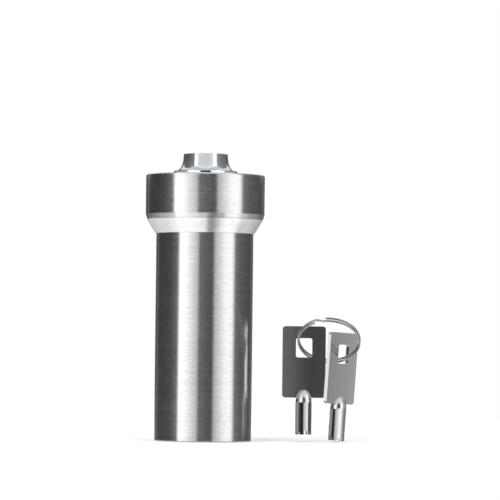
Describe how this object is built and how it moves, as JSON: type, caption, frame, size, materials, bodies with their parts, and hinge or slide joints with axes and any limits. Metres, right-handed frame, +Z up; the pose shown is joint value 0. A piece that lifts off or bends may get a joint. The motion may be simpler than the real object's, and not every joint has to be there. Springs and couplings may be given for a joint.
{
  "type": "medication lock box",
  "caption": "Slim round steel container with a wider screwless cap, a tubular key lock on top, and its keys on a split ring standing beside it.",
  "frame": {"origin": "centre of the container's flat base", "axes": "+Z up along the container's axis, towards the lock; -Y is the front; +X is the side where the keys stand"},
  "size_m": [0.0663, 0.0364, 0.088],
  "materials": {
    "brushed_steel": "stainless steel, turned with fine rings",
    "chrome": "bright chrome plating",
    "plain_steel": "plain machined steel",
    "ring_steel": "hard bright spring wire",
    "lock_brass": "machined brass",
    "liner_plastic": "moulded dark plastic",
    "seal_rubber": "soft grey seal"
  },
  "bodies": {
    "container": {"body_tube": "brushed_steel", "base_disc": "brushed_steel", "neck_collar": "brushed_steel", "neck_sleeve": "brushed_steel", "keeper_ring": "plain_steel", "index_pin": "plain_steel"},
    "cap": {"lid_shell": "brushed_steel", "lid_liner": "liner_plastic", "lid_gasket": "seal_rubber", "lock_bezel": "chrome", "lock_housing": "chrome", "lock_washer": "plain_steel", "lock_nut": "lock_brass", "driver_sleeve": "lock_brass", "sleeve_pin": "plain_steel", "driver_pin_1": "lock_brass", "driver_pin_2": "lock_brass", "driver_pin_3": "lock_brass", "driver_pin_4": "lock_brass", "driver_pin_5": "lock_brass", "driver_pin_6": "lock_brass", "driver_pin_7": "lock_brass", "pin_spring_1": "plain_steel", "pin_spring_2": "plain_steel", "pin_spring_3": "plain_steel", "pin_spring_4": "plain_steel", "pin_spring_5": "plain_steel", "pin_spring_6": "plain_steel", "pin_spring_7": "plain_steel"},
    "spindle": {"lock_spindle": "lock_brass", "cam_washer": "plain_steel", "cam_bar": "plain_steel", "cam_nut": "lock_brass"},
    "tumbler_1": {"key_pin_1": "lock_brass"},
    "tumbler_2": {"key_pin_2": "lock_brass"},
    "tumbler_3": {"key_pin_3": "lock_brass"},
    "tumbler_4": {"key_pin_4": "lock_brass"},
    "tumbler_5": {"key_pin_5": "lock_brass"},
    "tumbler_6": {"key_pin_6": "lock_brass"},
    "tumbler_7": {"key_pin_7": "lock_brass"},
    "key_ring": {"split_ring": "ring_steel"},
    "key_1": {"key_1_bow": "chrome", "key_1_barrel": "chrome"},
    "key_2": {"key_2_bow": "chrome", "key_2_barrel": "chrome"}
  },
  "joints": [
    {"name": "lid_lift", "type": "slide", "parent": "container", "child": "cap", "axis": [0, 0, 1], "range_m": [0, 0.045]},
    {"name": "lock_turn", "type": "hinge", "parent": "cap", "child": "spindle", "pos_m": [0, 0, 0.0788], "axis": [0, 0, 1], "range_deg": [0, 90]},
    {"name": "key_pin_1_travel", "type": "slide", "parent": "spindle", "child": "tumbler_1", "axis": [0, 0, 1], "range_m": [0, 0.0005]},
    {"name": "key_pin_2_travel", "type": "slide", "parent": "spindle", "child": "tumbler_2", "axis": [0, 0, 1], "range_m": [0, 0.0011]},
    {"name": "key_pin_3_travel", "type": "slide", "parent": "spindle", "child": "tumbler_3", "axis": [0, 0, 1], "range_m": [0, 0.0008]},
    {"name": "key_pin_4_travel", "type": "slide", "parent": "spindle", "child": "tumbler_4", "axis": [0, 0, 1], "range_m": [0, 0.0014]},
    {"name": "key_pin_5_travel", "type": "slide", "parent": "spindle", "child": "tumbler_5", "axis": [0, 0, 1], "range_m": [0, 0.0006]},
    {"name": "key_pin_6_travel", "type": "slide", "parent": "spindle", "child": "tumbler_6", "axis": [0, 0, 1], "range_m": [0, 0.00125]},
    {"name": "key_pin_7_travel", "type": "slide", "parent": "spindle", "child": "tumbler_7", "axis": [0, 0, 1], "range_m": [0, 0.00095]},
    {"name": "ring_lift", "type": "slide", "parent": "container", "child": "key_ring", "axis": [0, 0, 1], "range_m": [0, 0.06]},
    {"name": "key_1_swing", "type": "hinge", "parent": "key_ring", "child": "key_1", "pos_m": [0.0304, 0.003, 0.02815], "axis": [0.5134, 0.6164, -0.5971], "range_deg": [-4, 10]},
    {"name": "key_2_swing", "type": "hinge", "parent": "key_ring", "child": "key_2", "pos_m": [0.04285, 0.00518, 0.02539], "axis": [0.8827, -0.3717, 0.2876], "range_deg": [-10, 10]}
  ],
  "couplings": [
    {"joint": "key_pin_2_travel", "follows": "key_pin_1_travel", "ratio": 2.2},
    {"joint": "key_pin_3_travel", "follows": "key_pin_1_travel", "ratio": 1.6},
    {"joint": "key_pin_4_travel", "follows": "key_pin_1_travel", "ratio": 2.8},
    {"joint": "key_pin_5_travel", "follows": "key_pin_1_travel", "ratio": 1.2},
    {"joint": "key_pin_6_travel", "follows": "key_pin_1_travel", "ratio": 2.5},
    {"joint": "key_pin_7_travel", "follows": "key_pin_1_travel", "ratio": 1.9}
  ]
}
